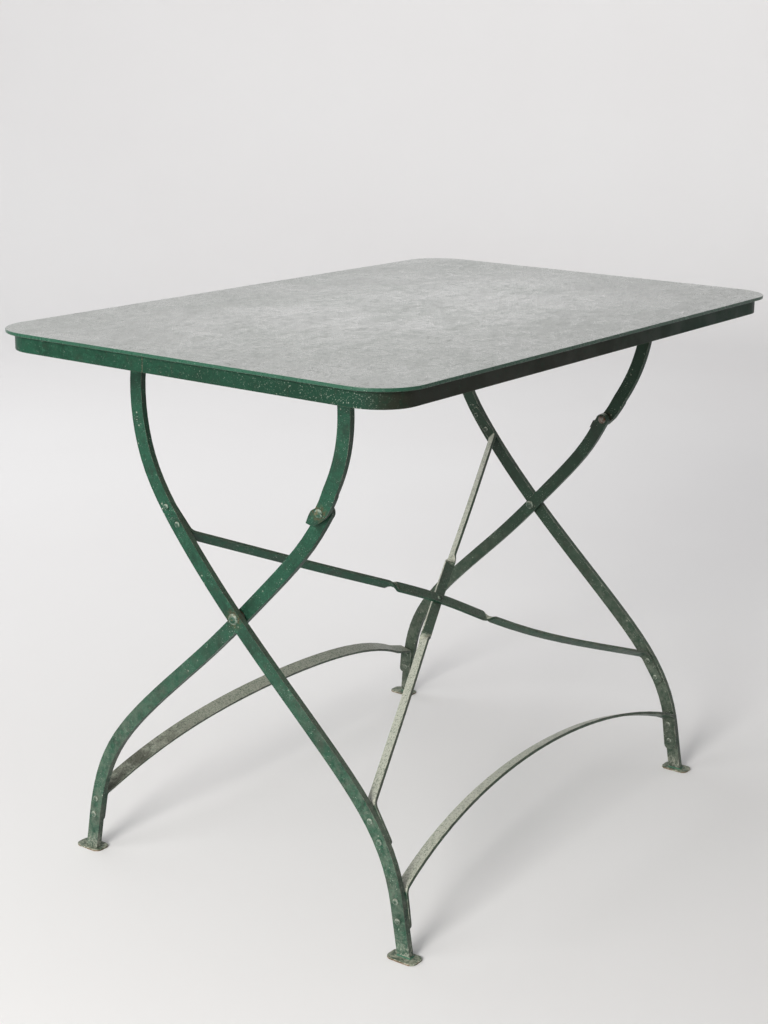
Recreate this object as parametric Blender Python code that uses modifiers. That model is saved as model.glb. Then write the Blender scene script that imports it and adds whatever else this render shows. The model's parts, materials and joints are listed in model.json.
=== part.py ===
"""A folding metal bistro table, built as its separate sheets, flat bars, brackets and rivets.

Metres. The floor is z = 0, +X runs along the table and +Y across it. Two X-shaped leg
frames cross under the top: the outer frame (a) hinges on the top, the inner frame (b) hinges
on the outer one, and a link on each side ties the inner frame's upper end to the top.
"""
import math

import bmesh
import bpy
import numpy as np
from mathutils import Matrix, Vector

GAP = 0.0003  # left between pieces that touch
SIDES = (("left", -1), ("right", 1))

# Tabletop and the hoop under it
TOP_LENGTH, TOP_WIDTH, TOP_HEIGHT = 1.000, 0.6232, 0.7374
TOP_CORNER = 0.063
RIM_DEPTH = 0.0045
RIM_ROUNDING = 0.0018
SHEET_THICK = 0.002
HEM_WIDTH = 0.011
HOOP_INSET = 0.0115
HOOP_THICK = 0.003
HOOP_BOTTOM = 0.7112
HOOP_FLANGE = 0.020
SEAM_Y = 0.0555

# Crossbars and pivot brackets
CROSSBAR_X = 0.352
CROSSBAR_SIZE = (0.032, 0.592, 0.003)
STRIP_THICK = 0.003
BRACKET_WIDTH = 0.024
BRACKET_A_X = 0.3635
BRACKET_B_X = 0.3727
BRACKET_REACH = 0.0115

# Flat bar of the legs and links
BAR_WIDTH = 0.0189
BAR_THICK = 0.0086

# Each bar's outer face is x = face + lean * (z - level), mirrored on the left side
PLANE_A = (0.3741, 0.0, 0.38)
PLANE_B = (0.3612, -0.068, 0.38)
PLANE_LINK = (0.3649, 0.135, 0.55)

# Pivots, as (y, z)
PIVOT_A = (0.171, 0.703)
PIVOT_B = (-0.162, 0.716)
CROSSING = (0.0129, 0.384)
KNUCKLE = (-0.113, 0.542)

# Centre lines of the bars, as (z, y)
LEG_A = ((0, -0.2599), (0.04, -0.2525), (0.10, -0.2397), (0.17, -0.2035), (0.25, -0.1285),
         (0.33, -0.0429), (0.41, 0.038), (0.48, 0.0996), (0.55, 0.1481), (0.62, 0.1708),
         (0.68, 0.1736), (0.703, 0.171))
LEG_B = ((0, 0.2600), (0.03, 0.2574), (0.09, 0.2499), (0.16, 0.2233), (0.24, 0.1567),
         (0.33, 0.0632), (0.42, -0.0219), (0.50, -0.0887), (0.542, -0.113))
LINK = ((0.542, -0.113), (0.58, -0.135), (0.63, -0.1544), (0.68, -0.1619), (0.716, -0.162))
LEG_B_EYE = (0.0097, 0.0018)  # radius, and how far it is set back along the bar
WASHER_RADIUS = 0.0088

# The link's widened lower end, as (y, z), and the stop lug bent in from its straight edge
LINK_END = ((-0.1391, 0.5660), (-0.1350, 0.5577), (-0.1306, 0.5500), (-0.1253, 0.5415),
            (-0.1165, 0.5322), (-0.1062, 0.5260), (-0.0980, 0.5243), (-0.0912, 0.5262),
            (-0.0967, 0.5378), (-0.1009, 0.5442), (-0.1078, 0.5482), (-0.1138, 0.5582))
LUG = ((-0.0912, 0.5262), (-0.0967, 0.5378), (-0.0984, 0.5369), (-0.0921, 0.5257))
LUG_X = (0.3440, 0.3565)
LINK_END_TOP = 0.572  # the link is plain bar above this height

# Feet
FOOT_SIZE = (0.0268, 0.0425, 0.0025)
FOOT_CORNER = 0.009
FOOT_A = (0.3722, -0.2597)
FOOT_B = (0.3795, 0.2648)

# Stretchers: arch height = sum of the rises times x**0, x**2 and x**4, in a leaning plane
STRETCHER_WIDTH = 0.0205
STRAP_THICK = 0.004
STRETCHER_A = {"base": (-0.2476, 0.085), "lean": 20.8, "rise": (0.0690, -0.4442, -0.4625),
               "arch_end": 0.342, "corner": (-0.2455, 0.0850), "tip": (-0.2529, 0.0345)}
STRETCHER_B = {"base": (0.259, 0.085), "lean": -19.6, "rise": (0.0676, -0.3507, -1.663),
               "arch_end": 0.335, "corner": (0.2540, 0.0832), "tip": (0.2588, 0.0400)}
RIVETS_STRETCHER_A = ((-0.2459, 0.0735), (-0.2497, 0.0476))
RIVETS_STRETCHER_B = ((0.2542, 0.0745), (0.2568, 0.0515))

# Diagonal braces of the outer frame. Each lies in one plane, given by the line between the
# legs' upper fixings and the one between the lower ones, and bows down that plane by the
# drops given as (distance from its middle, drop). Fixings are (y, z).
BRACE_WIDTH = 0.015
BRACE_PLANE = ((0.0946, 0.4800), (-0.1961, 0.1835))
BRACES = {
    "1": {"side": -1, "top": ((0.1331, 0.5180), (0.0962, 0.4785)),
          "bottom": ((-0.1985, 0.1775), (-0.2260, 0.1368)),
          "bow": ((-0.418, 0), (-0.25, -0.0010), (-0.08, -0.0010), (0, 0.0015), (0.09, 0.0118),
                  (0.20, 0.0150), (0.35, 0.0058), (0.418, 0))},
    "2": {"side": 1, "top": ((0.1299, 0.5210), (0.0930, 0.4815)),
          "bottom": ((-0.1977, 0.1850), (-0.2252, 0.1388)), "bow": ((-0.418, 0), (0.418, 0))},
}
BRACE_TWIST = (0.076, 0.098)
BRACE_LIFT_REACH = 0.25
RIVETS_BRACE = ((0.1245, 0.5119), (0.1055, 0.4916), (-0.2048, 0.169), (-0.2192, 0.145))

BRACE_BEND_REACH = 0.03  # from a fixing's bend to the straight arm
STRAP_TIP_TURN = 75      # degrees of arc in a strap's rounded tip
SEAM_SIZE = (0.0016, 0.0010, 0.06)
PIN_CLEARANCE = (0.0012, 0.0010, 0.0008)  # pivot b head, crossing tail, crossing washer

# Rivets: head radius, head height, shank radius, tail radius, tail height
SMALL_RIVET = (0.0044, 0.0024, 0.0024, 0.0038, 0.0018)
PIVOT_RIVET = (0.0075, 0.0036, 0.0040, 0.0065, 0.0028)
KNUCKLE_STUB = (0.0063, 0.0034, 0.0036, 0, 0)
HOLE_CLEARANCE = 0.00035

GREEN = (0.047, 0.140, 0.090)
GREY = (0.440, 0.470, 0.455)
STEEL = (0.330, 0.330, 0.310)


def clear_scene():
    for ob in list(bpy.data.objects):
        bpy.data.objects.remove(ob, do_unlink=True)


def new_collection(name):
    group = bpy.data.collections.new(name)
    bpy.context.scene.collection.children.link(group)
    return group


def finish_material(name, colour, roughness, metallic):
    material = bpy.data.materials.new(name)
    material.use_nodes = True
    shader = material.node_tree.nodes["Principled BSDF"]
    shader.inputs["Base Color"].default_value = (*colour, 1.0)
    shader.inputs["Roughness"].default_value = roughness
    shader.inputs["Metallic"].default_value = metallic
    return material


def green_paint(name):
    return finish_material(name + "_paint", GREEN, 0.5, 0.0)


def worn_sheet(name):
    return finish_material(name + "_sheet", GREY, 0.45, 0.2)


def bare_steel(name):
    return finish_material(name + "_steel", STEEL, 0.45, 0.8)


def joint_axis(name, y, z):
    axis = bpy.data.objects.new(name, None)
    axis.location = (0, y, z)
    TABLE.objects.link(axis)
    return axis


def tidy_mesh(mesh):
    work = bmesh.new()
    work.from_mesh(mesh)
    bmesh.ops.remove_doubles(work, verts=work.verts, dist=1e-6)
    bmesh.ops.recalc_face_normals(work, faces=work.faces)
    work.to_mesh(mesh)
    work.free()


def add_solid(name, mesh, material, parent=None, smooth=False):
    """One named piece, its mesh given in world metres."""
    tidy_mesh(mesh)
    mesh.name = name
    mesh.materials.clear()
    mesh.materials.append(material)
    if smooth:
        mesh.shade_smooth()
        mesh.set_sharp_from_angle(angle=math.radians(35))
    solid = bpy.data.objects.new(name, mesh)
    TABLE.objects.link(solid)
    attach(solid, parent)
    return solid


def attach(solid, parent):
    """Parents a piece to its joint's empty without moving it."""
    if parent:
        solid.parent = parent
        solid.matrix_parent_inverse = Matrix.Translation(-parent.location)


def boolean(solid, mesh, operation):
    """Cuts mesh from a piece, or joins mesh to it, with mesh kept as a hidden tool."""
    tidy_mesh(mesh)
    tool = bpy.data.objects.new(f"{solid.name}_{operation.lower()}", mesh)
    TOOLS.objects.link(tool)
    tool.hide_render = True
    tool.display_type = "WIRE"
    step = solid.modifiers.new(tool.name, "BOOLEAN")
    step.operation = operation
    step.solver = "EXACT"
    step.object = tool


def plate_mesh(outline, thickness, matrix):
    """A flat plate: a filled outline extruded both ways from the matrix's own XY plane."""
    curve = bpy.data.curves.new("outline", "CURVE")
    curve.dimensions = "2D"
    curve.fill_mode = "BOTH"
    curve.extrude = thickness / 2
    spline = curve.splines.new("POLY")
    spline.points.add(len(outline) - 1)
    for point, (u, v) in zip(spline.points, outline):
        point.co = (u, v, 0, 1)
    spline.use_cyclic_u = True
    holder = bpy.data.objects.new("outline", curve)
    TOOLS.objects.link(holder)
    evaluated = holder.evaluated_get(bpy.context.evaluated_depsgraph_get())
    mesh = bpy.data.meshes.new_from_object(evaluated)
    bpy.data.objects.remove(holder)
    bpy.data.curves.remove(curve)
    mesh.transform(matrix)
    return mesh


def rounded_rectangle(length, width, corner, steps):
    outline = []
    for quarter, (sx, sy) in enumerate(((1, 1), (-1, 1), (-1, -1), (1, -1))):
        centre_x, centre_y = sx * (length / 2 - corner), sy * (width / 2 - corner)
        for i in range(steps + 1):
            angle = math.radians(90 * (quarter + i / steps))
            outline.append((centre_x + corner * math.cos(angle),
                            centre_y + corner * math.sin(angle)))
    return outline


def layer_mesh(inset, low, high, steps=10):
    """A slab with the tabletop's outline drawn in by inset, between two heights."""
    outline = rounded_rectangle(TOP_LENGTH - 2 * inset, TOP_WIDTH - 2 * inset,
                                TOP_CORNER - inset, steps)
    return plate_mesh(outline, high - low, Matrix.Translation((0, 0, (low + high) / 2)))


def natural_spline(knots, at):
    """Values at the given places of the natural cubic spline through (place, value) knots."""
    z, y = np.array(knots, float).T
    step = np.diff(z)
    rise = np.diff(y) / step
    system, load = np.eye(len(z)), np.zeros(len(z))
    for i in range(1, len(z) - 1):
        system[i, i - 1:i + 2] = step[i - 1], 2 * (step[i - 1] + step[i]), step[i]
        load[i] = 6 * (rise[i] - rise[i - 1])
    bend = np.linalg.solve(system, load)
    k = np.clip(np.searchsorted(z, at) - 1, 0, len(step) - 1)
    below, above, h = at - z[k], z[k + 1] - at, step[k]
    values = (bend[k] * above ** 3 + bend[k + 1] * below ** 3) / (6 * h)
    values += (y[k] / h - bend[k] * h / 6) * above
    return values + (y[k + 1] / h - bend[k + 1] * h / 6) * below


def spline_path(knots, low, count):
    """Points (y, z) from height low up, on the spline through (z, y) knots."""
    at = np.linspace(low, knots[-1][0], count)
    return np.stack([natural_spline(knots, at), at], axis=1)


def bar_edges(path):
    """Both edges of a bar that follows path, and the bar's direction at each point."""
    along = np.gradient(path, axis=0)
    along /= np.linalg.norm(along, axis=1)[:, None]
    across = np.stack([along[:, 1], -along[:, 0]], axis=1) * BAR_WIDTH / 2
    return path + across, path - across, along


def round_end(centre, along, radius, start, end, steps):
    """Points on an arc about centre; 0 degrees is to the right of along, 180 to its left."""
    right = np.array([along[1], -along[0]])
    angles = np.radians(np.linspace(start, end, steps + 1))
    return [centre + radius * (right * math.cos(a) + along * math.sin(a)) for a in angles]


def leg_outline(path, eye, set_back=0.0):
    """A leg bar, cut level at its foot and ending in an eye about or just before its last point."""
    right, left, along = bar_edges(path)
    for edge in (right, left):
        edge[0] -= along[0] * (edge[0][1] - path[0][1]) / along[0][1]
    swell = math.degrees(math.acos(BAR_WIDTH / 2 / eye))
    centre = path[-1] - along[-1] * set_back
    keep = np.linalg.norm(path - centre, axis=1) > eye
    keep[-1] = False
    tip = round_end(centre, along[-1], eye, -swell, 180 + swell, 12)
    return list(right[keep]) + tip + list(left[keep][::-1])


def link_outline(path):
    """A link bar, round about its last point and widened at its lower end."""
    right, left, along = bar_edges(path)
    keep = path[:, 1] > LINK_END_TOP
    tip = round_end(path[-1], along[-1], BAR_WIDTH / 2, 0, 180, 8)[1:-1]
    return list(right[keep]) + tip + list(left[keep][::-1]) + list(LINK_END)


def on_face(plane, side, y, z):
    """Frame on a bar's outer face at (y, z): local X is +Y, local Z points outward."""
    face, lean, level = plane
    stretch = math.hypot(1, lean)
    out = Vector((side, 0, -lean)) / stretch
    up = Vector((side * lean, 0, 1)) / stretch
    place = Vector((side * (face + lean * (z - level)), y, z))
    return Matrix((Vector((0, 1, 0)), up, out)).transposed().to_4x4().copy(), place


def face_matrix(plane, side, y, z, depth=0.0):
    turn, place = on_face(plane, side, y, z)
    return Matrix.Translation(place) @ turn @ Matrix.Translation((0, 0, -depth))


def side_bar(name, plane, side, outline, parent):
    """A flat bar with a (y, z) outline, lying in its leaning plane."""
    stretch = math.hypot(1, plane[1])
    flat = [(y, (z - plane[2]) * stretch) for y, z in outline]
    mesh = plate_mesh(flat, BAR_THICK, face_matrix(plane, side, 0, plane[2], BAR_THICK / 2))
    return add_solid(name, mesh, green_paint(name), parent, smooth=True)


def rounded_path(corners, radius, steps=5):
    """Corner points joined by straight runs, with every inner corner eased by a curve."""
    points = [Vector(corners[0])]
    for before, corner, after in zip(corners, corners[1:], corners[2:]):
        corner = Vector(corner)
        start = corner + (Vector(before) - corner).normalized() * radius
        end = corner + (Vector(after) - corner).normalized() * radius
        for i in range(steps + 1):
            t = i / steps
            points.append(start * (1 - t) ** 2 + corner * 2 * t * (1 - t) + end * t ** 2)
    return points + [Vector(corners[-1])]


def strap_mesh(points, sides, widths, thickness):
    """A bent or twisted flat strap; sides are the directions that its width runs in."""
    work = bmesh.new()
    rings = []
    last = len(points) - 1
    for i, (point, side, width) in enumerate(zip(points, sides, widths)):
        along = (points[min(i + 1, last)] - points[max(i - 1, 0)]).normalized()
        through = along.cross(side).normalized()
        across = through.cross(along).normalized()
        ring = []
        for u, v in ((1, 1), (-1, 1), (-1, -1), (1, -1)):
            place = point + across * u * width / 2 + through * v * thickness / 2
            ring.append(work.verts.new(place))
        rings.append(ring)
    for ring, following in zip(rings, rings[1:]):
        for k in range(4):
            j = (k + 1) % 4
            work.faces.new((ring[k], ring[j], following[j], following[k]))
    work.faces.new(rings[0][::-1])
    work.faces.new(rings[-1])
    mesh = bpy.data.meshes.new("strap")
    work.to_mesh(mesh)
    work.free()
    return mesh


def rounded_tip(tip, before, width, steps=4):
    """Points and widths that carry a strap from before its end round to the tip itself."""
    tip, before = Vector(tip), Vector(before)
    back = (before - tip).normalized()
    points, widths = [], []
    for i in range(steps + 1):
        angle = math.radians(STRAP_TIP_TURN * i / steps)
        reach = 1 - math.sin(angle) / math.sin(math.radians(STRAP_TIP_TURN))
        points.append(tip + back * width * 0.35 * reach)
        widths.append(width * (0.45 + 0.55 * math.cos(angle)))
    return points, widths


def rivet_mesh(size, grip, segments=12):
    """A domed rivet on local Z: its head above z = 0 and its tail below z = -grip."""
    head, dome, shank, tail, tail_dome = size
    profile = [(0, dome), (head * 0.5, dome * 0.88), (head * 0.84, dome * 0.5), (head, 0),
               (shank, 0), (shank, -grip)]
    if tail_dome:
        profile += [(tail, -grip), (tail * 0.72, -grip - tail_dome * 0.75),
                    (0, -grip - tail_dome)]
    else:
        profile.append((0, -grip))
    mesh = bpy.data.meshes.new("rivet_profile")
    edges = [(i, i + 1) for i in range(len(profile) - 1)]
    mesh.from_pydata([(r, 0, z) for r, z in profile], edges, [])
    holder = bpy.data.objects.new("rivet_profile", mesh)
    TOOLS.objects.link(holder)
    turn = holder.modifiers.new("turn", "SCREW")
    turn.steps = segments
    turn.render_steps = segments
    turn.use_merge_vertices = True
    turn.merge_threshold = 1e-5
    evaluated = holder.evaluated_get(bpy.context.evaluated_depsgraph_get())
    rivet = bpy.data.meshes.new_from_object(evaluated)
    bpy.data.objects.remove(holder)
    bpy.data.meshes.remove(mesh)
    return rivet


def rivets(name, size, grip, places, parent=None, finish=green_paint, segments=12):
    """Identical rivets sharing one mesh; places maps each one's label to its frame."""
    mesh = rivet_mesh(size, grip + 2 * GAP, segments)
    tidy_mesh(mesh)
    mesh.name = name
    mesh.materials.append(finish(name))
    mesh.shade_smooth()
    mesh.set_sharp_from_angle(angle=math.radians(35))
    for label, place in places.items():
        rivet = bpy.data.objects.new(f"{name}_{label}", mesh)
        TABLE.objects.link(rivet)
        attach(rivet, parent)
        rivet.matrix_basis = place @ Matrix.Translation((0, 0, GAP))


def both_sides(place_on, *details):
    """One frame on the left and one on the right, by label."""
    return {label: place_on(side, *details) for label, side in SIDES}


def drill(solid, places, size, segments=12, depth=0.034):
    """Clearance holes for rivets, one through each place along its local Z."""
    work = bmesh.new()
    radius = size[2] + HOLE_CLEARANCE
    for place in places:
        bmesh.ops.create_cone(work, cap_ends=True, segments=segments, radius1=radius,
                              radius2=radius, depth=depth, matrix=place)
    mesh = bpy.data.meshes.new(solid.name + "_holes")
    work.to_mesh(mesh)
    work.free()
    boolean(solid, mesh, "DIFFERENCE")


def pin_place(side, x, pivot):
    """Frame for a pin along X, pointing outward, with its head at x."""
    return face_matrix((x, 0.0, 0.0), side, *pivot)


def down_place(x, y, z):
    """Frame for a vertical rivet with its head underneath, at height z."""
    return Matrix.Translation((x, y, z)) @ Matrix.Rotation(math.pi, 4, "X")


# Top

def tabletop_sheet():
    mesh = layer_mesh(0, TOP_HEIGHT - RIM_DEPTH, TOP_HEIGHT)
    sheet = add_solid("tabletop_sheet", mesh, worn_sheet("tabletop"), smooth=True)
    bevel = sheet.modifiers.new("rolled_rim", "BEVEL")
    bevel.width = RIM_ROUNDING
    bevel.segments = 3
    bevel.limit_method = "ANGLE"
    bevel.angle_limit = math.radians(40)
    pocket = layer_mesh(HEM_WIDTH, TOP_HEIGHT - 0.02, TOP_HEIGHT - SHEET_THICK)
    boolean(sheet, pocket, "DIFFERENCE")


def apron_hoop():
    top = TOP_HEIGHT - SHEET_THICK - GAP
    mesh = layer_mesh(HOOP_INSET, HOOP_BOTTOM, top)
    hoop = add_solid("apron_hoop", mesh, green_paint("apron"), smooth=True)
    inside = layer_mesh(HOOP_INSET + HOOP_THICK, HOOP_BOTTOM - 0.01, top - HOOP_THICK)
    boolean(hoop, inside, "DIFFERENCE")
    middle = layer_mesh(HOOP_INSET + HOOP_FLANGE, HOOP_BOTTOM - 0.01, top + 0.01)
    boolean(hoop, middle, "DIFFERENCE")
    seam = bpy.data.meshes.new("seam")
    work = bmesh.new()
    face = HOOP_INSET - TOP_LENGTH / 2
    size = Matrix.Diagonal((*SEAM_SIZE, 1))
    place = Matrix.Translation((face, SEAM_Y, HOOP_BOTTOM + 0.01))
    bmesh.ops.create_cube(work, size=1, matrix=place @ size)
    work.to_mesh(seam)
    work.free()
    boolean(hoop, seam, "DIFFERENCE")


def crossbar_height():
    """Height of the crossbars' underside."""
    return TOP_HEIGHT - SHEET_THICK - HOOP_THICK - 2 * GAP - CROSSBAR_SIZE[2]


def bracket_foot_rivets(x, pivot, side):
    inward = side * (x - 0.018)
    low = crossbar_height() - GAP - STRIP_THICK
    return [down_place(inward, pivot[0] + dy, low) for dy in (-0.0068, 0.0068)]


def all_foot_rivets(side):
    return (bracket_foot_rivets(BRACKET_A_X, PIVOT_A, side)
            + bracket_foot_rivets(BRACKET_B_X, PIVOT_B, side))


def crossbars():
    for label, side in SIDES:
        work = bmesh.new()
        height = crossbar_height() + CROSSBAR_SIZE[2] / 2
        place = Matrix.Translation((side * CROSSBAR_X, 0, height))
        bmesh.ops.create_cube(work, size=1, matrix=place @ Matrix.Diagonal((*CROSSBAR_SIZE, 1)))
        mesh = bpy.data.meshes.new("crossbar")
        work.to_mesh(mesh)
        work.free()
        name = "crossbar_" + label
        bar = add_solid(name, mesh, green_paint(name))
        drill(bar, all_foot_rivets(side), SMALL_RIVET)


def pivot_bracket(name, side, x, pivot):
    """An L bracket: a foot under the crossbar and a round-ended tab about the pivot."""
    height = crossbar_height() - GAP - STRIP_THICK / 2
    tip = (side * x, pivot[0], pivot[1] - BRACKET_REACH)
    corner = (side * x, pivot[0], height)
    foot = (side * (x - 0.028), pivot[0], height)
    bend = rounded_path((foot, corner, tip), 0.004)[:-1]
    end, end_widths = rounded_tip(tip, corner, BRACKET_WIDTH)
    points = bend + end
    widths = [BRACKET_WIDTH] * len(bend) + end_widths
    mesh = strap_mesh(points, [Vector((0, 1, 0))] * len(points), widths, STRIP_THICK)
    bracket = add_solid(name, mesh, green_paint(name))
    drill(bracket, bracket_foot_rivets(x, pivot, side), SMALL_RIVET, depth=0.012)
    drill(bracket, [pin_place(side, x, pivot)], PIVOT_RIVET, 16, 0.012)


def top_fittings():
    for label, side in SIDES:
        pivot_bracket("bracket_a_" + label, side, BRACKET_A_X, PIVOT_A)
        pivot_bracket("bracket_b_" + label, side, BRACKET_B_X, PIVOT_B)
        feet = enumerate(all_foot_rivets(side), start=1)
        places = {f"{label}_{number}": place for number, place in feet}
        rivets("bracket_rivet", SMALL_RIVET, STRIP_THICK + GAP + CROSSBAR_SIZE[2], places)
    inner_a = BRACKET_A_X - STRIP_THICK / 2
    places = both_sides(pin_place, PLANE_A[0], PIVOT_A)
    rivets("pivot_rivet_a", PIVOT_RIVET, PLANE_A[0] - inner_a, places, None, bare_steel, 16)
    inner_b = BRACKET_B_X - STRIP_THICK / 2
    head = PLANE_LINK[0] + PLANE_LINK[1] * (PIVOT_B[1] - PLANE_LINK[2])
    head += PIN_CLEARANCE[0]
    places = both_sides(pin_place, head, PIVOT_B)
    rivets("pivot_rivet_b", PIVOT_RIVET, head - inner_b, places, None, bare_steel, 16)


# Outer frame

def foot_plate(name, centre, side, parent):
    outline = rounded_rectangle(FOOT_SIZE[0], FOOT_SIZE[1], FOOT_CORNER, 5)
    place = Matrix.Translation((side * centre[0], centre[1], FOOT_SIZE[2] / 2))
    plate = plate_mesh(outline, FOOT_SIZE[2], place)
    add_solid(name, plate, green_paint(name), parent, smooth=True)


def strap_rivets(plane, points, side):
    return [face_matrix(plane, side, y, z) for y, z in points]


def outer_legs(parent):
    path = spline_path(LEG_A, FOOT_SIZE[2] + GAP, 44)
    outline = leg_outline(path, BAR_WIDTH / 2 + 1e-5)
    for label, side in SIDES:
        leg = side_bar("leg_a_" + label, PLANE_A, side, outline, parent)
        drill(leg, strap_rivets(PLANE_A, RIVETS_STRETCHER_A + RIVETS_BRACE, side), SMALL_RIVET)
        pins = [pin_place(side, PLANE_A[0], pivot) for pivot in (PIVOT_A, CROSSING)]
        drill(leg, pins, PIVOT_RIVET, 16)
        foot_plate("foot_a_" + label, FOOT_A, side, parent)


def crossing_pins(parent):
    tail = PLANE_B[0] - BAR_THICK - PIN_CLEARANCE[1]
    places = both_sides(pin_place, PLANE_A[0], CROSSING)
    rivets("crossing_rivet", PIVOT_RIVET, PLANE_A[0] - tail, places, parent, green_paint, 16)
    low, high = PLANE_B[0] + PIN_CLEARANCE[2], PLANE_A[0] - BAR_THICK - GAP
    for label, side in SIDES:
        name = "crossing_washer_" + label
        place = pin_place(side, (low + high) / 2, CROSSING)
        mesh = plate_mesh(ring_outline(WASHER_RADIUS), high - low, place)
        washer = add_solid(name, mesh, bare_steel(name), parent, smooth=True)
        drill(washer, [place], PIVOT_RIVET, 16)


def ring_outline(radius, count=24):
    angles = [math.tau * i / count for i in range(count)]
    return [(radius * math.cos(a), radius * math.sin(a)) for a in angles]


def stretcher(name, shape, plane, parent):
    """An arched strap whose ends bend down into tabs against the legs' inner faces."""
    base_y, base_z = shape["base"]
    lean = math.radians(shape["lean"])
    rise = shape["rise"]
    inset = (BAR_THICK + GAP) * math.hypot(1, plane[1]) + STRAP_THICK / 2

    def tab_point(y, z):
        return Vector((plane[0] + plane[1] * (z - plane[2]) - inset, y, z))

    arch = []
    for x in np.linspace(0, shape["arch_end"], 15):
        height = rise[0] + rise[1] * x ** 2 + rise[2] * x ** 4
        arch.append(Vector((x, base_y + height * math.sin(lean), base_z + height * math.cos(lean))))
    corner, tip = tab_point(*shape["corner"]), tab_point(*shape["tip"])
    bend = rounded_path((arch[-1], corner, tip), 0.006)[1:-1]
    end, end_widths = rounded_tip(tip, corner, STRETCHER_WIDTH)
    half = arch + bend + end
    arch_side = Vector((0, math.cos(lean), -math.sin(lean)))
    down = (tip - corner).normalized()
    tab_side = down.cross(Vector((1, 0, 0))).normalized()
    if tab_side.y < 0:
        tab_side.negate()
    tab_sides = [arch_side.lerp(tab_side, (i + 1) / len(bend)) for i in range(len(bend))]
    sides = [arch_side] * len(arch) + tab_sides + [tab_side] * len(end)
    widths = [STRETCHER_WIDTH] * (len(arch) + len(bend)) + end_widths
    mirror = [Vector((-p.x, p.y, p.z)) for p in half]
    points = mirror[:0:-1] + half
    mesh = strap_mesh(points, sides[:0:-1] + sides, widths[:0:-1] + widths, STRAP_THICK)
    return add_solid(name, mesh, green_paint(name), parent, smooth=True)


def stretcher_with_rivets(letter, shape, plane, spots, parent):
    strap = stretcher("stretcher_" + letter, shape, plane, parent)
    places = {}
    for label, side in SIDES:
        for number, place in enumerate(strap_rivets(plane, spots, side), start=1):
            places[f"{label}_{number}"] = place
    drill(strap, places.values(), SMALL_RIVET)
    grip = BAR_THICK + GAP + STRAP_THICK
    rivets(f"stretcher_{letter}_rivet", SMALL_RIVET, grip, places, parent)


def brace_frame():
    """Middle of the braces' plane, its unit normal on the upper -Y side, and downhill."""
    upper, lower = [Vector((0, *place)) for place in BRACE_PLANE]
    downhill = (lower - upper).normalized()
    return (upper + lower) / 2, downhill.cross(Vector((1, 0, 0))), downhill


def brace_layout(shape):
    """A brace's four fixing points and the function that gives its centre line."""
    side, (centre, front, _) = shape["side"], brace_frame()
    x = PLANE_A[0] - BAR_THICK - GAP - STRAP_THICK / 2
    top_tip, top = [Vector((side * x, y, z)) for y, z in shape["top"]]
    bottom, bottom_tip = [Vector((-side * x, y, z)) for y, z in shape["bottom"]]
    middle, along = (top + bottom) / 2, (bottom - top).normalized()
    uphill = front.cross(along) * -side
    lift = (centre - middle).dot(front) - side * (STRAP_THICK + GAP) / 2

    def spot(distance):
        raised = (1 + math.cos(math.pi * min(abs(distance) / BRACE_LIFT_REACH, 1))) / 2
        drop = float(natural_spline(shape["bow"], np.array([distance]))[0])
        return middle + along * distance + front * lift * raised - uphill * drop

    return (top_tip, top, bottom, bottom_tip), along, uphill, spot


def brace(name, parent):
    """A strap from one leg's upper part to the other's lower part, twisted beside its middle."""
    (top_tip, top, bottom, bottom_tip), along, uphill, spot = brace_layout(BRACES[name])
    front, reach = brace_frame()[1], (bottom - top).length / 2
    points, sides, widths = [], [], []

    def add(items, directions, item_widths=None):
        points.extend(items)
        sides.extend(directions)
        widths.extend(item_widths or [BRACE_WIDTH] * len(items))

    def half(end, tip, corner):
        """From the tip at one end to the strap's middle: tab, bend, straight arm, twist."""
        points.clear(), sides.clear(), widths.clear()
        arm_way = along.cross(tip - corner).normalized()
        arm_way *= math.copysign(1, -arm_way.dot(front))
        tab_way = (tip - corner).normalized().cross(Vector((1, 0, 0)))
        tab_way *= math.copysign(1, tab_way.dot(arm_way))
        tip_points, tip_widths = rounded_tip(tip, corner, BRACE_WIDTH)
        add(tip_points[::-1], [tab_way] * len(tip_points), tip_widths[::-1])
        bend = rounded_path((tip, corner, spot(end * (reach - BRACE_BEND_REACH))), 0.007)[1:-1]
        add(bend, [tab_way.lerp(arm_way, (i + 1) / len(bend)) for i in range(len(bend))])
        arm = np.linspace(reach - BRACE_BEND_REACH, BRACE_TWIST[1], 9)[:-1]
        add([spot(end * distance) for distance in arm], [arm_way] * len(arm))
        turned = uphill.angle(arm_way)
        axis = uphill.cross(arm_way).normalized()
        for step in range(9):
            part = 1 - step / 8
            distance = BRACE_TWIST[0] + (BRACE_TWIST[1] - BRACE_TWIST[0]) * part
            ease = part * part * (3 - 2 * part)
            add([spot(end * distance)], [Matrix.Rotation(turned * ease, 3, axis) @ uphill])
        centre = np.linspace(BRACE_TWIST[0], 0, 6)[1:-1]
        add([spot(end * distance) for distance in centre], [uphill] * len(centre))
        return list(points), list(sides), list(widths)

    upper, lower = half(-1, top_tip, top), half(1, bottom_tip, bottom)
    centre = ([spot(0)], [uphill], [BRACE_WIDTH])
    run = [a + b + c[::-1] for a, b, c in zip(upper, centre, lower)]
    mesh = strap_mesh(*run, STRAP_THICK)
    name = "brace_" + name
    return add_solid(name, mesh, green_paint(name), parent, smooth=True)


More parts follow.
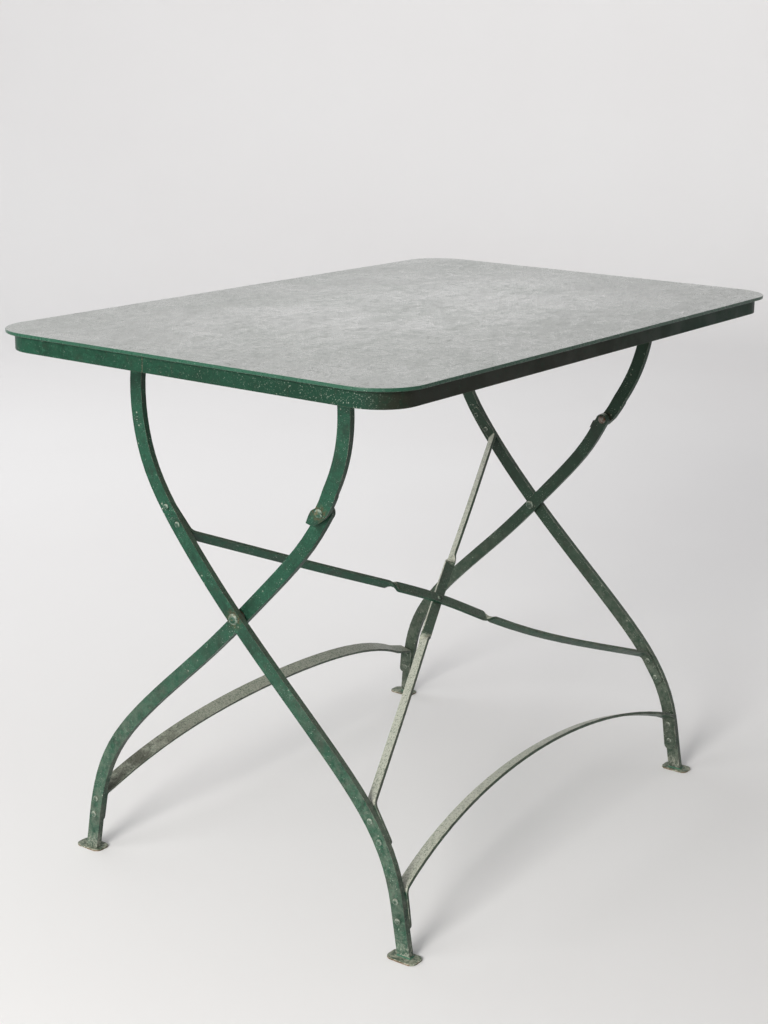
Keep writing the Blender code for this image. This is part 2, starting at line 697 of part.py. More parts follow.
def brace_crossing():
    """Frame on the front face of the front brace, where the two centre lines cross."""
    middle, front, downhill = brace_frame()
    steps = np.linspace(-0.03, 0.03, 61)
    lines = []
    for shape in BRACES.values():
        spots = [brace_layout(shape)[3](distance) for distance in steps]
        spots.sort(key=lambda place: place.x)
        lines.append([(place.x, (place - middle).dot(downhill)) for place in spots])
    (x, one), (other_x, other) = [np.array(line).T for line in lines]
    gap = one - np.interp(x, other_x, other)
    across = float(np.interp(0, gap, x))
    down = float(np.interp(across, x, one))
    place = middle + Vector((across, 0, 0)) + downhill * down
    turn = front.to_track_quat("Z", "Y").to_matrix().to_4x4()
    return Matrix.Translation(place + front * (STRAP_THICK + GAP / 2)) @ turn


def braces(parent):
    centre = brace_crossing()
    for label, shape in BRACES.items():
        side = shape["side"]
        strap = brace(label, parent)
        spots = (strap_rivets(PLANE_A, RIVETS_BRACE[:2], side)
                 + strap_rivets(PLANE_A, RIVETS_BRACE[2:], -side))
        drill(strap, spots + [centre], SMALL_RIVET)
    places = {}
    for label, side in SIDES:
        for number, place in enumerate(strap_rivets(PLANE_A, RIVETS_BRACE, side), start=1):
            places[f"{label}_{number}"] = place
    rivets("brace_rivet", SMALL_RIVET, BAR_THICK + GAP + STRAP_THICK, places, parent)
    crossing = {"centre": centre}
    rivets("brace_rivet", SMALL_RIVET, 2 * STRAP_THICK + GAP, crossing, parent)


# Inner frame

def knuckle_place(side, plane):
    return face_matrix(plane, side, *KNUCKLE)


def knuckle_inside(side):
    """Frame on the inner face of the inner leg's eye, pointing inward."""
    flip = Matrix.Rotation(math.pi, 4, "X")
    return knuckle_place(side, PLANE_B) @ Matrix.Translation((0, 0, -BAR_THICK)) @ flip


def inner_legs(parent):
    path = spline_path(LEG_B, FOOT_SIZE[2] + 2 * GAP, 36)
    outline = leg_outline(path, *LEG_B_EYE)
    for label, side in SIDES:
        leg = side_bar("leg_b_" + label, PLANE_B, side, outline, parent)
        drill(leg, strap_rivets(PLANE_B, RIVETS_STRETCHER_B, side), SMALL_RIVET)
        drill(leg, [knuckle_place(side, PLANE_B)], KNUCKLE_STUB)
        drill(leg, [pin_place(side, PLANE_B[0], CROSSING)], PIVOT_RIVET, 16)
        foot_plate("foot_b_" + label, FOOT_B, side, parent)
    places = both_sides(knuckle_inside)
    rivets("knuckle_inner_rivet", KNUCKLE_STUB, BAR_THICK - 3 * GAP, places, parent, bare_steel)


# Links

def link(label, side, parent):
    name = "link_" + label
    outline = link_outline(spline_path(LINK, LINK[0][0], 24))
    bar = side_bar(name, PLANE_LINK, side, outline, parent)
    centre = (LUG_X[0] + LUG_X[1]) / 2
    place = face_matrix((centre, 0.0, 0.0), side, 0, 0)
    boolean(bar, plate_mesh(LUG, LUG_X[1] - LUG_X[0], place), "UNION")
    head = PLANE_LINK[0] + PLANE_LINK[1] * (PIVOT_B[1] - PLANE_LINK[2])
    drill(bar, [pin_place(side, head, PIVOT_B)], PIVOT_RIVET, 16)
    knuckle = knuckle_place(side, PLANE_LINK)
    drill(bar, [knuckle], KNUCKLE_STUB)
    rivets("knuckle_rivet", KNUCKLE_STUB, BAR_THICK - 3 * GAP, {label: knuckle}, parent)


def build():
    tabletop_sheet()
    apron_hoop()
    crossbars()
    top_fittings()
    outer = joint_axis("outer_frame_axis", *PIVOT_A)
    outer_legs(outer)
    crossing_pins(outer)
    stretcher_with_rivets("a", STRETCHER_A, PLANE_A, RIVETS_STRETCHER_A, outer)
    braces(outer)
    inner = joint_axis("inner_frame_axis", *CROSSING)
    inner_legs(inner)
    stretcher_with_rivets("b", STRETCHER_B, PLANE_B, RIVETS_STRETCHER_B, inner)
    for label, side in SIDES:
        link(label, side, joint_axis(f"link_{label}_axis", *PIVOT_B))


clear_scene()
TABLE = new_collection("bistro_table")
TOOLS = new_collection("tools")
build()
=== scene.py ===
"""Looks for the folding bistro table: camera, studio, worn paint, rust and weld detail.

Metres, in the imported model's own frame: the floor is z = 0, +X runs along the table.
"""
import json
import math
import random

import bmesh
import bpy
from mathutils import Matrix, Vector


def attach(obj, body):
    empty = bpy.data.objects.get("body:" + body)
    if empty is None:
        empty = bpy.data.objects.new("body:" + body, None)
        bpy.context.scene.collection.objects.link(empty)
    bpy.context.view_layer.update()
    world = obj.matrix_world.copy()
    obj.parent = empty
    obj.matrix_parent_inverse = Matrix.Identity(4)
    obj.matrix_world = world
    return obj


# Camera
LENS = 62.73
CAMERA_PLACE = (-2.0141, -1.3711, 1.1103)
HEADING, PITCH, ROLL = 35.151, -15.222, 1.180

# Studio: a round white room with a coved floor
ROOM_RADIUS = 4.2
COVE_RADIUS = 1.6
ROOM_HEIGHT = 4.2
ROOM_SIDES = 96
COVE_STEPS = 12

# Studio lights: name, place, target, size, watts, colour, spread in degrees, whether glossy
# surfaces mirror it
WARM, NEUTRAL, COOL = (1.0, 0.985, 0.96), (1.0, 0.99, 0.98), (0.97, 0.98, 1.0)
LIGHTS = (
    ("key", (-4.1, -0.55, 1.9), (0.3, 0, 0.35), (1.3, 1.1), 55, WARM, 110, True),
    ("fill", (-3.9, 1.6, 1.5), (0.3, 0.4, 0.3), (3.2, 2.6), 36, NEUTRAL, 110, False),
    ("front", (-4.2, -1.6, 1.2), (0.5, 0.4, 0.2), (2.4, 1.8), 28, NEUTRAL, 110, False),
    ("wall", (0.4, 1.2, 3.8), (3.4, 3.6, 2.2), (3.0, 1.2), 82, COOL, 180, True),
    ("rear", (0.5, 3.5, 2.4), (0.6, 0, 0), (3.0, 2.0), 22, COOL, 180, True))
WORLD_STRENGTH = 0.24
ROOM_WHITES = (0.82, 0.805, 0.80), (0.85, 0.845, 0.84)

# Paint, rust and steel, as linear colours
GREEN_DARK = (0.006, 0.026, 0.015)
GREEN = (0.009, 0.051, 0.029)
GREEN_LIGHT = (0.017, 0.073, 0.042)
# Pale chalk, also used as a painted highlight along rounded edges
CHALK_AND_HIGHLIGHT = (0.485, 0.485, 0.40)
CHIP = (0.45, 0.50, 0.42)
# Grime, also used for painted shade on front and inward faces, under the rim and at rivet rims
GRIME_AND_SHADE = (0.017, 0.021, 0.014)
STAIN = (0.050, 0.050, 0.036)
EDGE_BROWN = (0.085, 0.075, 0.048)
RUST = (0.110, 0.052, 0.022)
RUST_PALE = (0.300, 0.190, 0.085)
SHEET_LIGHT = (0.760, 0.775, 0.760)
SHEET_DARK = (0.445, 0.465, 0.447)
SHEET_GREENISH = (0.25, 0.31, 0.26)
SHEET_BORDER = (0.380, 0.400, 0.380)
SHEET_FRECKLE = (0.075, 0.100, 0.075)
SHEET_STAIN = (0.130, 0.150, 0.125)
# The rim's green, made paler on its upward turn as a painted highlight
RIM_GREEN_LIT = (0.017, 0.078, 0.046)
HEM_BROWN = (0.030, 0.024, 0.016)
# The apron's bare front colour, darkened also as painted shade
APRON_BARE_AND_SHADE = (0.017, 0.018, 0.012)
# Pale edge colour: partly wear, partly a painted highlight
APRON_EDGE = (0.13, 0.125, 0.085)
FOOT_DARK, FOOT_PALE = (0.055, 0.085, 0.055), (0.26, 0.275, 0.205)
STEEL = (0.24, 0.23, 0.21)

# Half the sheet's length and width
HALF_LENGTH, HALF_WIDTH = 0.5, 0.3116

# Corners where wear gathers
APRON_WORN_CORNER = (-0.49, -0.30, 0.722)
TOP_STAINED_CORNER = (0.5, -0.31, 0.737)

# Heights over which painted shade under the rim comes in up the apron, and over which the rim
# darkens brown down to its hem
APRON_SHADE_LEVEL = (0.7285, 0.7330)
HEM_LEVEL = (0.7336, 0.7326)

# Rivets that rust, given for the +X side: the knuckle's and the crossing's
RUSTY_RIVETS = ((0.365, -0.113, 0.542), (0.374, 0.0129, 0.384))

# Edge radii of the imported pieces, by the start of their names; None leaves a piece's edges
EDGES = (("tabletop", None), ("apron", 0.0006), ("crossbar", 0.0007), ("bracket_rivet", None),
         ("bracket", 0.0006), ("leg", 0.0010), ("link", 0.0010), ("stretcher_a_rivet", None),
         ("stretcher_b_rivet", None), ("stretcher", 0.0004), ("brace_rivet", None),
         ("brace", 0.0005), ("foot", 0.0005))
BEVEL_ANGLE, SPLIT_ANGLE, FLAT_ANGLE = (math.radians(angle) for angle in (35, 50, 0.3))
BEVEL_SEGMENTS = 2
JOIN_DISTANCE = 1e-5

# Weld beads at the feet
BEAD_RADIUS = 0.0013
BEAD_STEP = 0.0017
BEAD_SIDES = 8
BEAD_SEED = 7


class Graph:
    """A short way to write a material's nodes; a socket or a value can feed any input."""

    def __init__(self, name, roughness=0.5, specular=0.5, metallic=0.0):
        self.material = bpy.data.materials.new(name)
        self.material.use_nodes = True
        self.tree = self.material.node_tree
        self.shader = self.tree.nodes["Principled BSDF"]
        self.shader.inputs["Roughness"].default_value = roughness
        self.shader.inputs["Specular IOR Level"].default_value = specular
        self.shader.inputs["Metallic"].default_value = metallic
        coordinates = self.add("ShaderNodeTexCoord")
        self.place = coordinates.outputs["Object"]
        self.x, self.y, self.z = self.split(self.place)
        self.face_x, self.face_y, self.face_z = self.split(coordinates.outputs["Normal"])

    def add(self, kind, **settings):
        node = self.tree.nodes.new(kind)
        for key, value in settings.items():
            setattr(node, key, value)
        return node

    def feed(self, socket, value):
        if isinstance(value, bpy.types.NodeSocket):
            self.tree.links.new(value, socket)
        else:
            socket.default_value = value

    def split(self, vector):
        node = self.add("ShaderNodeSeparateXYZ")
        self.feed(node.inputs[0], vector)
        return node.outputs[:3]

    def math(self, operation, first, second=0.0):
        node = self.add("ShaderNodeMath", operation=operation)
        self.feed(node.inputs[0], first)
        self.feed(node.inputs[1], second)
        return node.outputs[0]

    def product(self, *values):
        result = values[0]
        for value in values[1:]:
            result = self.math("MULTIPLY", result, value)
        return result

    def noise(self, scale, detail=3.0, rough=0.55, place=None, distortion=0.0):
        node = self.add("ShaderNodeTexNoise")
        self.feed(node.inputs["Vector"], place or self.place)
        node.inputs["Scale"].default_value = scale
        node.inputs["Detail"].default_value = detail
        node.inputs["Roughness"].default_value = rough
        node.inputs["Distortion"].default_value = distortion
        return node.outputs["Fac"]

    def spots(self, scale, radius, soft):
        """1 inside scattered round spots, 0 outside; radius and soft are in cells."""
        node = self.add("ShaderNodeTexVoronoi", feature="F1")
        self.feed(node.inputs["Vector"], self.place)
        node.inputs["Scale"].default_value = scale
        return self.ramp(node.outputs["Distance"], radius + soft, radius)

    def stretch(self, scale, offset=(0, 0, 0)):
        node = self.add("ShaderNodeMapping")
        self.feed(node.inputs["Vector"], self.place)
        node.inputs["Scale"].default_value = scale
        node.inputs["Location"].default_value = offset
        return node.outputs["Vector"]

    def ramp(self, value, low, high, out_low=0.0, out_high=1.0):
        """A smooth step from out_low at low to out_high at high; low may be the greater."""
        if low > high:
            low, high, out_low, out_high = high, low, out_high, out_low
        node = self.add("ShaderNodeMapRange", interpolation_type="SMOOTHSTEP")
        self.feed(node.inputs["Value"], value)
        node.inputs["From Min"].default_value = low
        node.inputs["From Max"].default_value = high
        node.inputs["To Min"].default_value = out_low
        node.inputs["To Max"].default_value = out_high
        return node.outputs["Result"]

    def mix(self, factor, first, second):
        node = self.add("ShaderNodeMix", data_type="RGBA", blend_type="MIX")
        self.feed(node.inputs["Factor"], factor)
        colours = [s for s in node.inputs if s.type == "RGBA"]
        for socket, colour in zip(colours, (first, second)):
            self.feed(socket, colour if isinstance(colour, bpy.types.NodeSocket) else (*colour, 1))
        return [s for s in node.outputs if s.type == "RGBA"][0]

    def distance(self, point, place=None):
        """How far the shaded spot, or the given place, is from a point."""
        node = self.add("ShaderNodeVectorMath", operation="DISTANCE")
        self.feed(node.inputs[0], place or self.place)
        node.inputs[1].default_value = point
        return node.outputs["Value"]

    def near(self, points, radius):
        """1 at any of the points, given for the +X side and mirrored to the other, down to 0."""
        join = self.add("ShaderNodeCombineXYZ")
        for socket, value in zip(join.inputs, (self.math("ABSOLUTE", self.x), self.y, self.z)):
            self.feed(socket, value)
        total = None
        for point in points:
            mask = self.ramp(self.distance(point, join.outputs[0]), radius, radius * 0.35)
            total = mask if total is None else self.math("MAXIMUM", total, mask)
        return total

    def finish(self, colour, roughness=None, height=None, distance=0.0001):
        self.feed(self.shader.inputs["Base Color"], colour)
        if roughness is not None:
            self.feed(self.shader.inputs["Roughness"], roughness)
        if height is not None:
            node = self.add("ShaderNodeBump")
            self.feed(node.inputs["Height"], height)
            node.inputs["Distance"].default_value = distance
            self.feed(self.shader.inputs["Normal"], node.outputs["Normal"])
        return self.material


def paint_base(g, wear):
    """Green paint mottled by age, grimy and chalky; returns colour, fine grain and mottle.

    Faces turned to the table's front or inward get painted shade. Faces turned up carry chalk, as
    strong as wear says, and so does the low part of the frame; on faces turned to the front the
    chalk thins, which is painted shade.
    """
    cloud = g.noise(26.0, 4.0, 0.6)
    grain = g.noise(520.0, 3.0, 0.65)
    colour = g.mix(g.ramp(cloud, 0.30, 0.60), GREEN_DARK, GREEN)
    colour = g.mix(g.ramp(g.noise(210.0, 3.0, 0.6), 0.50, 0.72), colour, GREEN_LIGHT)
    colour = g.mix(g.ramp(grain, 0.52, 0.34), colour, GREEN_DARK)
    grime = g.product(g.ramp(g.noise(60.0, 5.0, 0.7), 0.52, 0.70), 0.50)
    colour = g.mix(grime, colour, GRIME_AND_SHADE)
    # Painted shade: faces turned to the table's front are darkened
    front = g.product(g.ramp(g.face_y, -0.55, -0.95), g.ramp(g.noise(38.0, 5.0, 0.7), 0.25, 0.6))
    colour = g.mix(g.product(front, 0.50), colour, GRIME_AND_SHADE)
    # Painted shade: faces turned inward, under the table, are darkened
    inward_shade = g.ramp(g.math("MULTIPLY", g.face_x, g.math("SIGN", g.x)), -0.35, -0.85)
    colour = g.mix(g.product(inward_shade, 0.62), colour, GRIME_AND_SHADE)
    low = g.product(g.ramp(g.z, 0.42, 0.10), g.ramp(g.noise(90.0, 5.0, 0.75), 0.30, 0.70))
    colour = g.mix(g.product(low, 0.13), colour, CHALK_AND_HIGHLIGHT)
    # Chalk dust on upward faces; it thins on faces turned to the front, which is painted shade
    up = g.product(g.ramp(g.face_z, 0.22, 0.55), g.ramp(g.noise(330.0, 4.0, 0.7), 0.26, 0.54),
                   g.ramp(g.noise(700.0, 3.0, 0.6), 0.66, 0.56),
                   g.ramp(g.face_y, -0.62, -0.40, 0.14, 1.0), g.ramp(g.y, 0.28, 0.05, 0.72, 1.0))
    colour = g.mix(g.product(up, wear), colour, CHALK_AND_HIGHLIGHT)
    # The lower -X leg of the inner frame, and its stretcher's end there, are stained brown
    stain = g.product(g.ramp(g.y, 0.18, 0.22), g.ramp(g.x, -0.14, -0.31), g.ramp(g.z, 0.45, 0.30),
                      g.ramp(g.face_z, 0.10, 0.35), g.ramp(g.noise(55.0, 5.0, 0.7), 0.36, 0.58))
    colour = g.mix(g.product(stain, 0.72), colour, STAIN)
    return colour, grain, cloud


def green_paint(name, edge=False):
    """The bars' paint, chipped in patches; along the edges it is worn through to brown, and paler
    by wear and as a painted highlight.
    """
    g = Graph(name, specular=0.24)
    colour, grain, cloud = paint_base(g, 0.82)
    chips = g.ramp(g.noise(760.0, 2.0, 0.5), 0.50 if edge else 0.655, 0.72)
    patches = g.ramp(cloud, 0.2, 0.6) if edge else g.ramp(g.noise(48.0, 3.0, 0.6), 0.44, 0.62)
    chips = g.product(chips, patches, 0.75)
    colour = g.mix(chips, colour, CHIP)
    scuffs = g.product(g.spots(115.0, 0.08, 0.09), g.ramp(cloud, 0.50, 0.65), 0.45)
    colour = g.mix(scuffs, colour, CHALK_AND_HIGHLIGHT)
    if edge:
        brown = g.product(g.ramp(g.noise(95.0, 4.0, 0.7), 0.40, 0.60), 0.65)
        colour = g.mix(brown, colour, EDGE_BROWN)
        # Paler rounded edges: partly worn paint, partly a painted highlight
        colour = g.mix(g.product(g.ramp(g.noise(70.0, 3.0, 0.6), 0.46, 0.62), 0.55), colour, CHALK_AND_HIGHLIGHT)
    rust = g.product(g.near(RUSTY_RIVETS, 0.017), g.ramp(g.noise(240.0, 4.0, 0.7), 0.42, 0.60))
    colour = g.mix(g.product(rust, 0.45), colour, RUST)
    low = g.product(g.ramp(g.z, 0.035, 0.004), g.ramp(g.noise(300.0, 3.0, 0.7), 0.42, 0.62))
    colour = g.mix(g.product(low, 0.35), colour, CHALK_AND_HIGHLIGHT)
    rough = g.ramp(g.math("ADD", g.product(cloud, 0.6), g.product(grain, 0.4)), 0.35, 0.65,
                   0.30, 0.55)
    height = g.math("ADD", g.product(grain, 0.6), g.product(chips, -0.7))
    return g.finish(colour, rough, height, 0.00016)


def rivet_paint(name):
    """Green rivet heads rubbed through in a broken pale ring, with painted shade round their rims.
    """
    g = Graph(name, specular=0.25)
    colour, grain, cloud = paint_base(g, 0.25)
    facing = g.math("ABSOLUTE", g.face_x)
    ring = g.product(g.ramp(facing, 0.50, 0.66), g.ramp(facing, 0.93, 0.80),
                     g.ramp(g.noise(300.0, 3.0, 0.7), 0.42, 0.55))
    crown = g.product(g.ramp(facing, 0.86, 0.99), g.ramp(g.noise(420.0, 3.0, 0.7), 0.45, 0.62))
    colour = g.mix(g.product(ring, 0.34), colour, CHIP)
    colour = g.mix(g.product(crown, 0.10), colour, CHIP)
    # Painted shade round the rims of the rivet heads
    rim = g.ramp(facing, 0.45, 0.15)
    colour = g.mix(g.product(rim, 0.7), colour, GRIME_AND_SHADE)
    rust = g.product(g.near(RUSTY_RIVETS, 0.016), g.ramp(g.noise(230.0, 4.0, 0.7), 0.52, 0.64))
    colour = g.mix(g.product(rust, 0.35), colour, RUST_PALE)
    return g.finish(colour, g.ramp(cloud, 0.3, 0.7, 0.25, 0.45), grain, 0.00012)


def apron_paint(name, edge=False):
    """The hoop's paint: speckled towards one front corner, brown and bare along the front, with
    painted shade there too.
    """
    g = Graph(name, specular=0.14)
    colour, grain, cloud = paint_base(g, 0.5)
    colour = g.mix(g.ramp(g.y, 0.25, -0.20, 0.10, 0.80), colour, GREEN_DARK)
    # Painted shade on the apron just under the rim
    colour = g.mix(g.ramp(g.z, *APRON_SHADE_LEVEL, 0.0, 0.70), colour, GRIME_AND_SHADE)
    worn = g.ramp(g.distance(APRON_WORN_CORNER), 0.42, 0.03)
    speckle = g.math("ADD", g.noise(640.0, 2.0, 0.5), g.product(worn, 0.055))
    chips = g.product(g.ramp(speckle, 0.67, 0.77), 0.38)
    colour = g.mix(chips, colour, CHIP)
    # Bare brown paint along the front, also darkened as painted shade
    front = g.product(g.ramp(g.face_y, -0.25, -0.9), g.ramp(g.x, 0.38, -0.12))
    front = g.product(front, g.ramp(g.noise(110.0, 4.0, 0.7), 0.25, 0.5), 0.92)
    colour = g.mix(front, colour, APRON_BARE_AND_SHADE)
    runs = g.product(g.ramp(g.noise(90.0, 4.0, 0.65, g.stretch((1, 1, 0.25))), 0.55, 0.70), 0.35)
    colour = g.mix(runs, colour, GRIME_AND_SHADE)
    if edge:
        # Paler rounded edges: partly worn paint, partly a painted highlight
        colour = g.mix(g.product(g.ramp(grain, 0.40, 0.60), 0.55), colour, APRON_EDGE)
    return g.finish(colour, g.ramp(cloud, 0.35, 0.65, 0.36, 0.55), grain, 0.00014)


def top_paint(name):
    """Chalky grey top face with scuffs and stains; the rolled rim is still green."""
    g = Graph(name, specular=0.5)
    flow = g.stretch((1.0, 1.7, 1.0))
    cloud = g.noise(7.0, 5.0, 0.62, flow, 0.4)
    patch = g.noise(34.0, 5.0, 0.68, flow, 0.6)
    fine = g.noise(150.0, 5.0, 0.72, g.stretch((1.0, 1.5, 1.0)))
    tone = g.math("ADD", g.product(cloud, 0.16), g.product(patch, 0.32))
    tone = g.math("ADD", tone, g.product(fine, 0.52))
    grey = g.mix(g.ramp(tone, 0.37, 0.59), SHEET_DARK, SHEET_LIGHT)
    grey = g.mix(g.product(g.ramp(g.noise(5.0, 2.0, 0.5), 0.45, 0.62), 0.22), grey,
                 SHEET_GREENISH)
    inside_x = g.math("SUBTRACT", HALF_LENGTH, g.math("ABSOLUTE", g.x))
    inside_y = g.math("SUBTRACT", HALF_WIDTH, g.math("ABSOLUTE", g.y))
    inside = g.math("SMOOTH_MIN", inside_x, inside_y)
    border = g.ramp(inside, 0.055, 0.004)
    # Painted reflection: the top darkens towards its border, leaving the middle paler
    grey = g.mix(g.ramp(inside, 0.24, 0.01, 0.0, 0.60), grey, SHEET_BORDER)
    gather = g.product(border, g.ramp(g.noise(9.0, 3.0, 0.6), 0.42, 0.62), 0.09)
    freckle = g.math("ADD", g.noise(250.0, 4.0, 0.7), gather)
    grey = g.mix(g.product(g.ramp(freckle, 0.63, 0.72), 0.75), grey, SHEET_FRECKLE)
    stain = g.math("ADD", g.noise(55.0, 5.0, 0.7, g.stretch((0.7, 1.8, 1.0)), 1.2),
                   g.ramp(g.distance(TOP_STAINED_CORNER), 0.36, 0.05, 0.0, 0.09))
    grey = g.mix(g.product(g.ramp(stain, 0.60, 0.70), 0.45), grey, SHEET_STAIN)
    scratch = g.noise(130.0, 2.0, 0.5, g.stretch((0.12, 2.2, 1.0), (3, 5, 0)))
    grey = g.mix(g.product(g.ramp(scratch, 0.66, 0.74), 0.35), grey, CHIP)

    green = paint_base(g, 0.2)[0]
    # The rim's green, paler as it turns up: a painted highlight
    green = g.mix(g.ramp(g.face_z, -0.5, 0.4, 0.3, 0.8), green, RIM_GREEN_LIT)
    green = g.mix(g.product(g.ramp(g.noise(560.0, 2.0, 0.5), 0.66, 0.74), 0.4), green, CHIP)
    green = g.mix(g.product(g.ramp(g.z, *HEM_LEVEL), 0.9), green, HEM_BROWN)
    waver = g.product(g.math("SUBTRACT", g.noise(70.0, 4.0, 0.6), 0.5), 0.08)
    lip = g.math("ADD", g.face_z, waver)
    colour = g.mix(g.ramp(lip, 0.90, 0.975), green, grey)
    rough = g.ramp(tone, 0.37, 0.59, 0.40, 0.25)
    height = g.math("ADD", g.product(fine, 0.6), patch)
    return g.finish(colour, rough, height, 0.00022)


def bare_steel(name):
    """Dull steel with patches of rust, for the hidden fittings."""
    g = Graph(name, metallic=0.7)
    colour = g.mix(g.ramp(g.noise(150.0, 4.0, 0.7), 0.40, 0.60), STEEL, RUST)
    return g.finish(colour, g.ramp(g.noise(80.0), 0.3, 0.7, 0.35, 0.6), g.noise(500.0), 0.0001)


def foot_paint(name, edge=False):
    """Foot plates scuffed to a dull grey-green, rusty along the lower edge."""
    g = Graph(name, specular=0.35)
    mottle = g.noise(160.0, 5.0, 0.7)
    colour = g.mix(g.ramp(mottle, 0.42, 0.60), FOOT_DARK, FOOT_PALE)
    colour = g.mix(g.product(g.ramp(g.noise(420.0, 3.0, 0.6), 0.55, 0.66), 0.7), colour, CHIP)
    rim = g.product(g.ramp(g.face_z, 0.75, 0.2), g.ramp(g.noise(120.0, 4.0, 0.7), 0.38, 0.55))
    colour = g.mix(g.product(rim, 0.8), colour, RUST)
    if edge:
        # Paler rounded edges: partly worn paint, partly a painted highlight
        colour = g.mix(g.product(g.ramp(mottle, 0.45, 0.6), 0.5), colour, CHALK_AND_HIGHLIGHT)
    return g.finish(colour, g.ramp(mottle, 0.3, 0.7, 0.45, 0.7), g.noise(380.0), 0.0002)


def studio_white(name):
    """The room's matt white, very slightly uneven."""
    g = Graph(name, roughness=0.9, specular=0.2)
    return g.finish(g.mix(g.noise(1.3, 2.0, 0.5), *ROOM_WHITES))


def make_camera():
    """The camera, turned by heading, pitch and roll."""
    lens = bpy.data.cameras.new("camera")
    lens.lens = LENS
    camera = bpy.data.objects.new("camera", lens)
    turn = (Matrix.Rotation(math.radians(HEADING - 90), 4, "Z")
            @ Matrix.Rotation(math.radians(90 + PITCH), 4, "X")
            @ Matrix.Rotation(math.radians(ROLL), 4, "Z"))
    camera.matrix_world = Matrix.Translation(CAMERA_PLACE) @ turn
    bpy.context.scene.collection.objects.link(camera)
    bpy.context.scene.camera = camera


def area_light(name, place, target, size, power, colour, spread, mirrored):
    """A rectangular light at a place, facing a target."""
    lamp = bpy.data.lights.new(name, "AREA")
    lamp.shape = "RECTANGLE"
    lamp.size, lamp.size_y = size
    lamp.energy = power
    lamp.color = colour
    lamp.spread = math.radians(spread)
    light = bpy.data.objects.new(name, lamp)
    light.visible_glossy = mirrored
    light.location = place
    light.rotation_mode = "QUATERNION"
    light.rotation_quaternion = (Vector(target) - Vector(place)).to_track_quat("-Z", "Y")
    bpy.context.scene.collection.objects.link(light)


def make_studio():
    """The round room, its lights and the dim world beyond it."""
    work = bmesh.new()
    profile = [(0.0, 0.0), (ROOM_RADIUS, 0.0)]
    for i in range(1, COVE_STEPS + 1):
        angle = math.radians(90 * i / COVE_STEPS)
        profile.append((ROOM_RADIUS + COVE_RADIUS * math.sin(angle),
                        COVE_RADIUS * (1 - math.cos(angle))))
    profile.append((ROOM_RADIUS + COVE_RADIUS, ROOM_HEIGHT))
    points = [work.verts.new((r, 0, z)) for r, z in profile]
    edges = [work.edges.new(pair) for pair in zip(points, points[1:])]
    bmesh.ops.spin(work, geom=points + edges, cent=(0, 0, 0), axis=(0, 0, 1), dvec=(0, 0, 0),
                   angle=math.tau, steps=ROOM_SIDES)
    bmesh.ops.remove_doubles(work, verts=work.verts, dist=1e-4)
    bmesh.ops.recalc_face_normals(work, faces=work.faces)
    mesh = bpy.data.meshes.new("studio")
    work.to_mesh(mesh)
    work.free()
    mesh.shade_smooth()
    mesh.materials.append(studio_white("studio_white"))
    room = bpy.data.objects.new("studio", mesh)
    bpy.context.scene.collection.objects.link(room)
    for light in LIGHTS:
        area_light(*light)
    world = bpy.data.worlds.new("world")
    world.use_nodes = True
    background = world.node_tree.nodes["Background"]
    background.inputs["Color"].default_value = (*COOL, 1)
    background.inputs["Strength"].default_value = WORLD_STRENGTH
    bpy.context.scene.world = world
    bpy.context.scene.view_settings.view_transform = "Standard"


def soften(node):
    """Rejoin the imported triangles, smooth the curved faces and round the hard edges."""
    mesh = node.data
    if "custom_normal" in mesh.attributes:
        mesh.attributes.remove(mesh.attributes["custom_normal"])
    mesh.shade_smooth()
    weld = node.modifiers.new("weld", "WELD")
    weld.merge_threshold = JOIN_DISTANCE
    radius = next((size for start, size in EDGES if node.name.startswith(start)), None)
    if radius:
        flatten = node.modifiers.new("flatten", "DECIMATE")
        flatten.decimate_type = "DISSOLVE"
        flatten.angle_limit = FLAT_ANGLE
        bevel = node.modifiers.new("bevel", "BEVEL")
        bevel.width = radius
        bevel.segments = BEVEL_SEGMENTS
        bevel.limit_method = "ANGLE"
        bevel.angle_limit = BEVEL_ANGLE
        bevel.material = len(mesh.materials) - 1
    else:
        split = node.modifiers.new("split", "EDGE_SPLIT")
        split.split_angle = SPLIT_ANGLE
    node.modifiers.new("flat_faces", "WEIGHTED_NORMAL").keep_sharp = True


def dress_nodes(nodes, subparts):
    """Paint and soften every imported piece, by its material slot."""
    slots = {entry["node"]: entry["material_slot"] for entry in subparts}
    paints = {"tabletop": [top_paint("tabletop")], "bare_steel": [bare_steel("bare_steel")],
              "frame_paint": [green_paint("frame_paint"), green_paint("frame_edges", True)],
              "feet": [foot_paint("feet"), foot_paint("feet_edges", True)]}
    apron = [apron_paint("apron_paint"), apron_paint("apron_edges", True)]
    rivet = [rivet_paint("rivet_paint")]
    for name, node in nodes.items():
        if "rivet" in name and slots[name] == "frame_paint":
            finish = rivet
        else:
            finish = apron if name == "apron_hoop" else paints[slots[name]]
        node.data.materials[0] = finish[0]
        for extra in finish[1:]:
            node.data.materials.append(extra)
        soften(node)


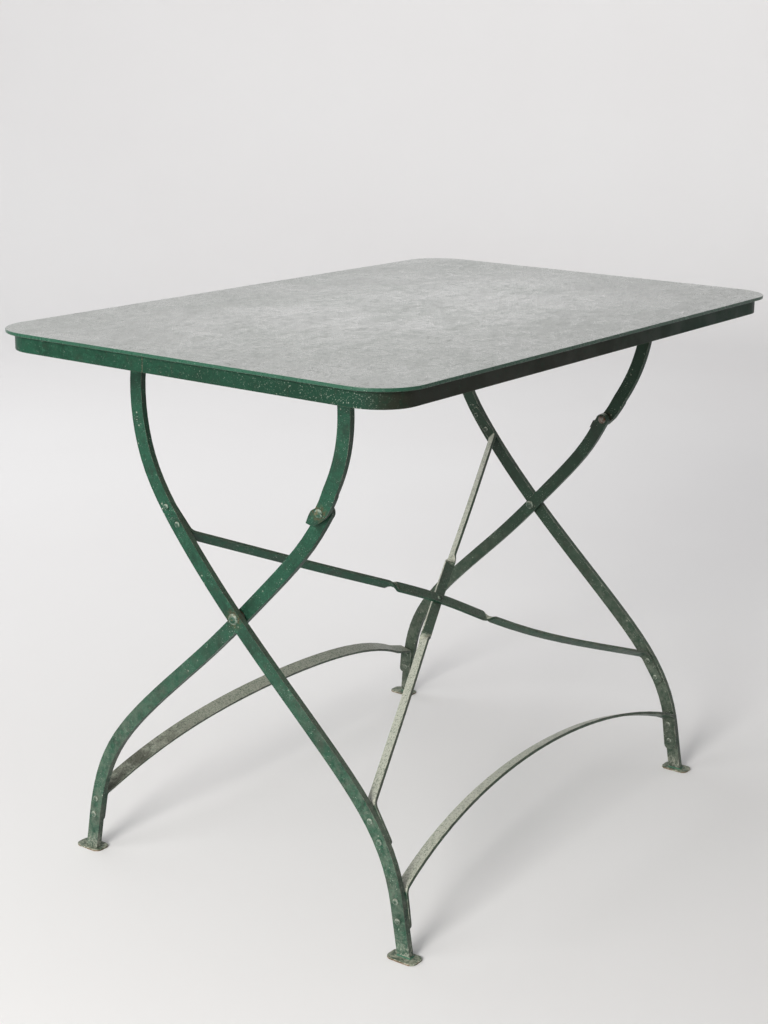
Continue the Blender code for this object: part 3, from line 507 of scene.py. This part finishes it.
def weld_bead(name, path, radius, body, seed):
    """A lumpy closed bead of weld metal along a loop of points."""
    rng = random.Random(seed)
    work = bmesh.new()
    rings = []
    count = len(path)
    for i, point in enumerate(path):
        along = (path[(i + 1) % count] - path[i - 1]).normalized()
        outward = along.cross(Vector((0, 0, 1))).normalized()
        size = radius * rng.uniform(0.75, 1.2)
        ring = []
        for k in range(BEAD_SIDES):
            angle = math.tau * k / BEAD_SIDES
            offset = outward * math.cos(angle) + Vector((0, 0, 1)) * math.sin(angle)
            ring.append(work.verts.new(point + offset * size))
        rings.append(ring)
    for ring, following in zip(rings, rings[1:] + rings[:1]):
        for k in range(BEAD_SIDES):
            j = (k + 1) % BEAD_SIDES
            work.faces.new((ring[k], following[k], following[j], ring[j]))
    bmesh.ops.recalc_face_normals(work, faces=work.faces)
    mesh = bpy.data.meshes.new(name)
    work.to_mesh(mesh)
    work.free()
    mesh.shade_smooth()
    mesh.materials.append(bpy.data.materials["frame_paint"])
    bead = bpy.data.objects.new(name, mesh)
    bpy.context.scene.collection.objects.link(bead)
    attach(bead, body)


def foot_welds(nodes):
    """Weld beads where each leg stands on its foot plate."""
    for seed, (letter, body) in enumerate((("a", "outer_frame"), ("b", "inner_frame"))):
        for side in ("left", "right"):
            leg = nodes[f"leg_{letter}_{side}"].data
            floor = min(v.co.z for v in leg.vertices)
            ends = [v.co for v in leg.vertices if v.co.z < floor + 1e-4]
            low = [min(p[k] for p in ends) for k in range(2)]
            high = [max(p[k] for p in ends) for k in range(2)]
            corners = [(low[0], low[1]), (high[0], low[1]), (high[0], high[1]), (low[0], high[1])]
            path = []
            for (ax, ay), (bx, by) in zip(corners, corners[1:] + corners[:1]):
                steps = max(3, round(math.hypot(bx - ax, by - ay) / BEAD_STEP))
                path += [Vector((ax + (bx - ax) * i / steps, ay + (by - ay) * i / steps, floor))
                         for i in range(steps)]
            weld_bead(f"foot_weld_{letter}_{side}", path, BEAD_RADIUS, body, BEAD_SEED + seed)


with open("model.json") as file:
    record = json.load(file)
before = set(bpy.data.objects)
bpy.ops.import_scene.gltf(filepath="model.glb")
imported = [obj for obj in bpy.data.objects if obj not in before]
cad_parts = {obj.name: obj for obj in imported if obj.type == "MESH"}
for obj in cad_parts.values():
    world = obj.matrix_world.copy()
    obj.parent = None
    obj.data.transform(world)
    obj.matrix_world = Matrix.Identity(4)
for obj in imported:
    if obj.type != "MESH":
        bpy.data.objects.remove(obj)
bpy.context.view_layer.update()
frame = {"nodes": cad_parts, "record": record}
make_camera()
make_studio()
dress_nodes(frame["nodes"], frame["record"]["subparts"])
foot_welds(frame["nodes"])
